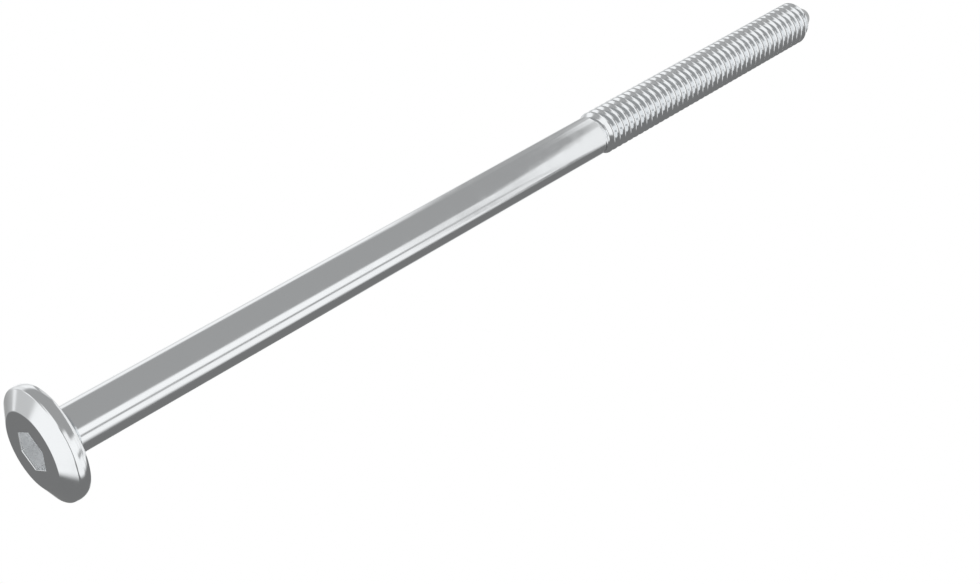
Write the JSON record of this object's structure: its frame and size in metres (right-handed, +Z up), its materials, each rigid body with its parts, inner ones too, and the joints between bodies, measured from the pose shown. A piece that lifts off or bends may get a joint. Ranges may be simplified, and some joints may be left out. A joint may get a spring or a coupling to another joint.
{
  "type": "furniture connector bolt",
  "caption": "Long steel furniture connector bolt with a flat bevelled hexagon-socket head, conical collar, relieved neck, plain shank and threaded end with a conical point.",
  "frame": {"origin": "on the surface the bolt lies on, under the middle of its box", "axes": "+X along the bolt from the head towards the point, +Z up; the bolt's own axis slopes 1.66 degrees down towards the point because it lies on its head's rim and on the end of its thread"},
  "size_m": [0.1734, 0.0176, 0.0175],
  "materials": {
    "plated_steel": "bright zinc-plated steel, smooth and mirror-like with fine drawing marks"
  },
  "bodies": {
    "root": {"connector_bolt": "plated_steel"}
  },
  "joints": []
}
